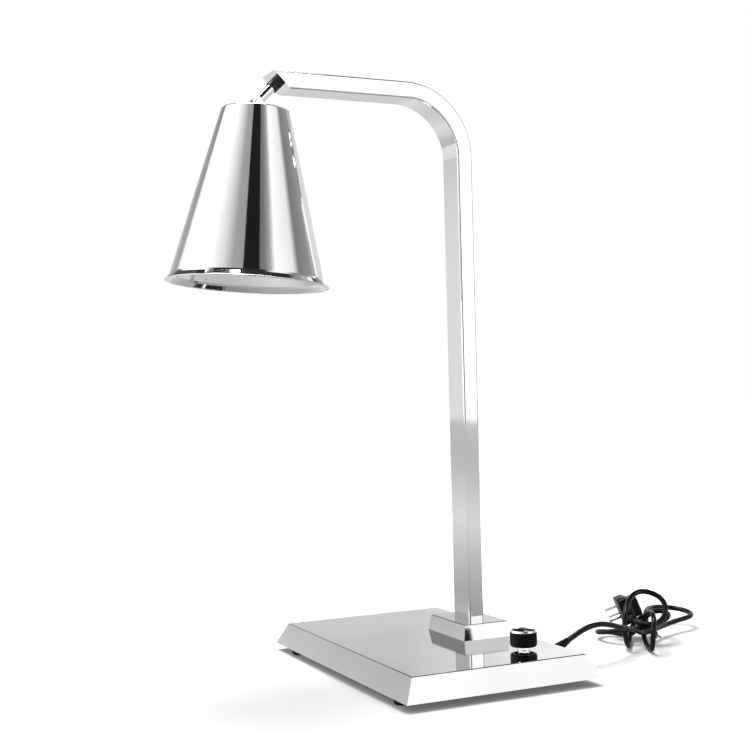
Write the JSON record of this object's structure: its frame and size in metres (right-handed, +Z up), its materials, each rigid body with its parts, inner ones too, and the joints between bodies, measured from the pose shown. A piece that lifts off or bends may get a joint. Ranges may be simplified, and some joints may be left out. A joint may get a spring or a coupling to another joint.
{
  "type": "heat lamp warmer",
  "caption": "Counter-top heat lamp warmer: conical shade on a swivel and tilt knuckle, bent rectangular post, sloped sheet base with a rotary dimmer and a tied mains lead.",
  "frame": {"origin": "on the table, under the middle of the lamp's outline in plan (the loose mains lead not counted)", "axes": "+Z up; the arm and lamp head point to -X and the mains lead leaves towards +X; the dimmer knob is on the -Y side"},
  "size_m": [0.7362, 0.385, 0.708],
  "materials": {
    "polished_steel": "mirror-polished stainless sheet and tube, fine polishing lines",
    "rod_steel": "bright turned steel",
    "zinc_steel": "zinc-plated steel",
    "base_sheet": "galvanised sheet, satin",
    "dark_steel": "blackened steel",
    "foot_rubber": "matt moulded rubber",
    "black_plastic": "satin moulded black plastic",
    "knob_ring": "diamond-cut bright aluminium",
    "ceramic": "glazed off-white ceramic",
    "brass": "bright brass",
    "bulb_glass": "satin frosted glass",
    "clear_glass": "clear glass",
    "bulb_cap": "pressed aluminium",
    "filament": "wound tungsten wire",
    "wire_brown": "brown wire insulation",
    "wire_blue": "blue wire insulation",
    "wire_green": "green and yellow wire insulation",
    "cord": "black flexible jacket, satin",
    "plug_plastic": "moulded black plug",
    "pin_metal": "nickel-plated brass",
    "tie": "black plastic-coated wire"
  },
  "bodies": {
    "stand": {"base_tray": "polished_steel", "plate_standoffs": "zinc_steel", "base_plate": "base_sheet", "plate_screws": "zinc_steel", "rubber_feet": "foot_rubber", "foot_screws": "zinc_steel", "foot_nuts": "zinc_steel", "column_collar": "polished_steel", "column_foot": "zinc_steel", "column_bolts": "zinc_steel", "column_nuts": "zinc_steel", "column_set_screws": "dark_steel", "tray_grommet": "foot_rubber", "column_tube": "polished_steel", "arm_end_plate": "polished_steel", "swivel_bush": "dark_steel", "dimmer_body": "black_plastic", "dimmer_nut": "rod_steel", "cable_gland": "black_plastic", "gland_nut": "black_plastic", "terminal_block": "ceramic", "terminal_screws": "brass", "earth_screw": "brass", "inlet_lead": "cord", "live_wires": "wire_brown", "neutral_wire": "wire_blue", "earth_wire": "wire_green", "column_lead": "cord", "cord_boot": "cord", "power_cord": "cord", "cord_bundle": "cord", "plug_body": "plug_plastic", "plug_pins": "pin_metal", "twist_tie": "tie"},
    "dial": {"dimmer_shaft": "rod_steel", "dimmer_knob": "black_plastic", "knob_ring": "knob_ring", "knob_set_screw": "dark_steel"},
    "yoke": {"swivel_rod": "rod_steel", "swivel_clip": "dark_steel", "rod_lead": "cord"},
    "lamp_head": {"head_fork": "rod_steel", "pivot_screw": "rod_steel", "pivot_nut": "rod_steel", "fork_nut": "zinc_steel", "lamp_shade": "polished_steel", "holder_bracket": "zinc_steel", "bracket_screws": "zinc_steel", "lamp_holder": "ceramic", "holder_shell": "brass", "holder_contact": "brass", "bulb_glass": "bulb_glass", "bulb_cap": "bulb_cap", "bulb_stem": "clear_glass", "bulb_filament": "filament", "holder_leads": "cord"}
  },
  "joints": [
    {"name": "head_swivel", "type": "hinge", "parent": "stand", "child": "yoke", "pos_m": [-0.08157, 0, 0.698], "axis": [-0.7071, 0, -0.7071], "range_deg": [-165, 165]},
    {"name": "head_tilt", "type": "hinge", "parent": "yoke", "child": "lamp_head", "pos_m": [-0.10702, 0, 0.67254], "axis": [0, 1, 0], "range_deg": [-30, 80]},
    {"name": "dimmer_turn", "type": "hinge", "parent": "stand", "child": "dial", "pos_m": [0.15843, -0.123, 0.039], "axis": [0, 0, 1], "range_deg": [-300, 0]}
  ]
}
